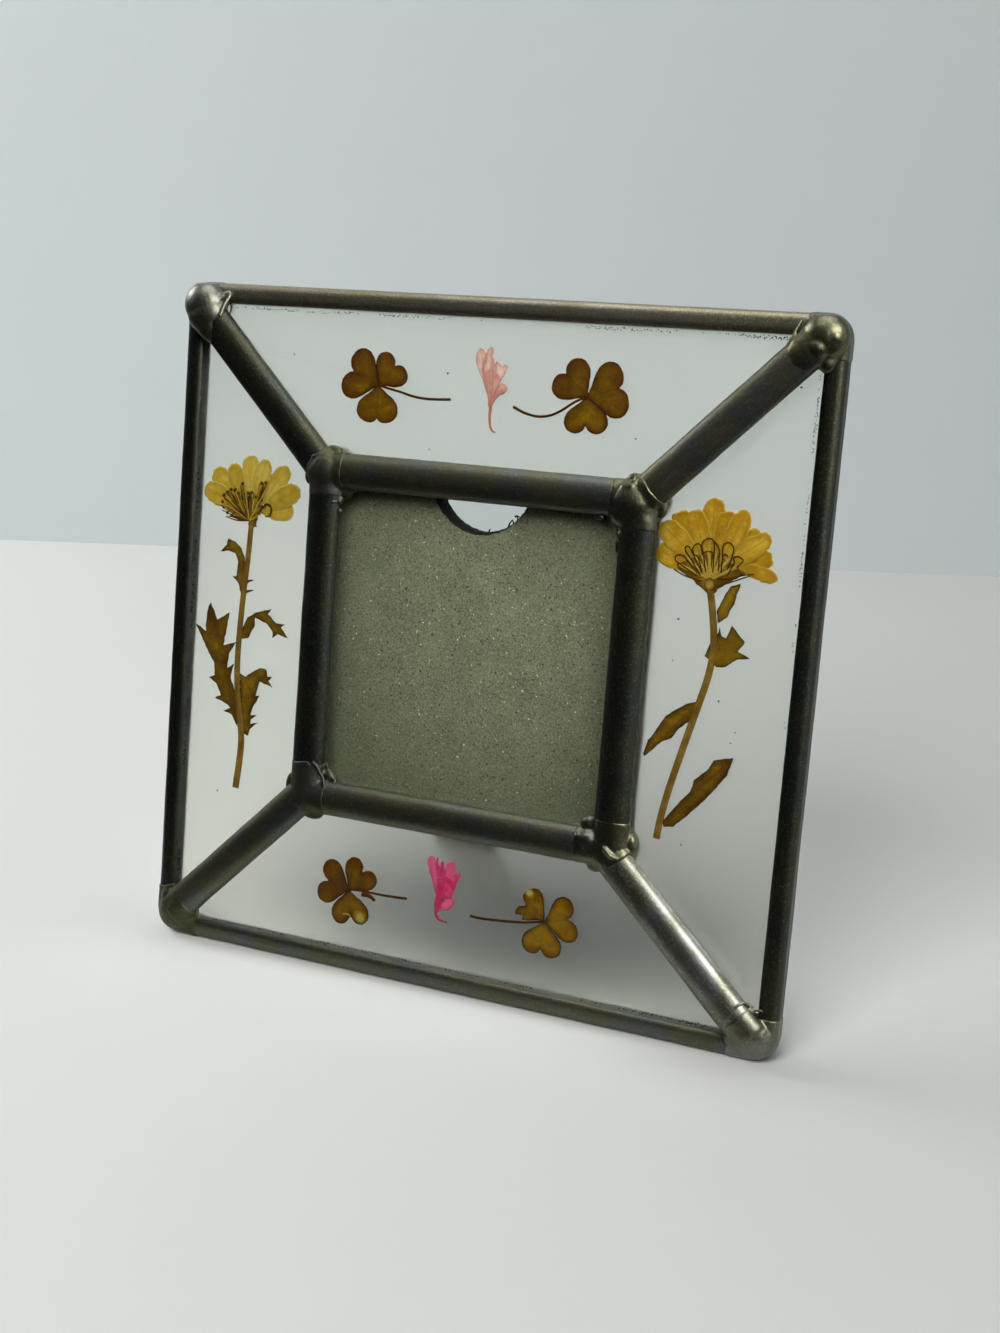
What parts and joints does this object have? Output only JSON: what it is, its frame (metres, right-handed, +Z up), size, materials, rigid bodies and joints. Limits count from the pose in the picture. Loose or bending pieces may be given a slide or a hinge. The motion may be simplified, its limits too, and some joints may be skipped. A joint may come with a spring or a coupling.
{
  "type": "pressed flower frame",
  "caption": "Small square leaded-glass picture frame that leans on a strap leg, with pressed flowers and clovers sealed between glass round a square picture opening.",
  "frame": {"origin": "bottom centre of the whole object, on the surface that it stands on", "axes": "+Z up, the front faces -Y and leans back 10.8 degrees, +X to the right seen from the front"},
  "size_m": [0.15, 0.065, 0.1474],
  "materials": {
    "lead": "dark patina, satin, hand-rubbed",
    "solder": "dull, lumpy, hand-melted",
    "clear_glass": "clear, polished",
    "frosted_glass": "frosted on its inner face",
    "grey_board": "grey chipboard with fine flecks, charred cut edges",
    "tinned_strip": "tinned, dull",
    "clover_leaf": "dried leaf, matt",
    "daisy_petal": "dried petal, thin, matt",
    "daisy_calyx": "dried bracts, matt",
    "daisy_stem": "dried stalk, matt",
    "daisy_leaf": "dried leaf, matt",
    "pink_petal": "dried petal, thin, translucent",
    "magenta_petal": "dyed dried petal, thin"
  },
  "bodies": {
    "root": {"edge_came_bottom": "lead", "opening_came_bottom": "lead", "front_glass_bottom": "clear_glass", "frosted_glass_bottom": "frosted_glass", "edge_came_right": "lead", "opening_came_right": "lead", "front_glass_right": "clear_glass", "frosted_glass_right": "frosted_glass", "edge_came_top": "lead", "opening_came_top": "lead", "front_glass_top": "clear_glass", "frosted_glass_top": "frosted_glass", "edge_came_left": "lead", "opening_came_left": "lead", "front_glass_left": "clear_glass", "frosted_glass_left": "frosted_glass", "diagonal_came_bottom_right": "lead", "edge_solder_bottom_right": "solder", "opening_solder_bottom_right": "solder", "diagonal_came_top_right": "lead", "edge_solder_top_right": "solder", "opening_solder_top_right": "solder", "diagonal_came_top_left": "lead", "edge_solder_top_left": "solder", "opening_solder_top_left": "solder", "diagonal_came_bottom_left": "lead", "edge_solder_bottom_left": "solder", "opening_solder_bottom_left": "solder", "picture_glass": "clear_glass", "backing_board": "grey_board", "board_tab_upper_left": "tinned_strip", "board_tab_lower_left": "tinned_strip", "board_tab_upper_right": "tinned_strip", "board_tab_lower_right": "tinned_strip", "clover_top_left": "clover_leaf", "clover_top_right": "clover_leaf", "clover_bottom_left": "clover_leaf", "clover_bottom_right": "clover_leaf", "petal_tuft_top": "pink_petal", "petal_tuft_bottom": "magenta_petal", "daisy_left_stem": "daisy_stem", "daisy_left_calyx": "daisy_calyx", "daisy_left_petals": "daisy_petal", "daisy_left_leaf_upper": "daisy_leaf", "daisy_left_leaf_middle": "daisy_leaf", "daisy_left_leaf_large": "daisy_leaf", "daisy_left_leaf_lower": "daisy_leaf", "daisy_right_stem": "daisy_stem", "daisy_right_calyx": "daisy_calyx", "daisy_right_petals": "daisy_petal", "daisy_right_leaf_upper": "daisy_leaf", "daisy_right_leaf_star": "daisy_leaf", "daisy_right_leaf_left": "daisy_leaf", "daisy_right_leaf_lower": "daisy_leaf", "strap_leg": "tinned_strip"}
  },
  "joints": []
}
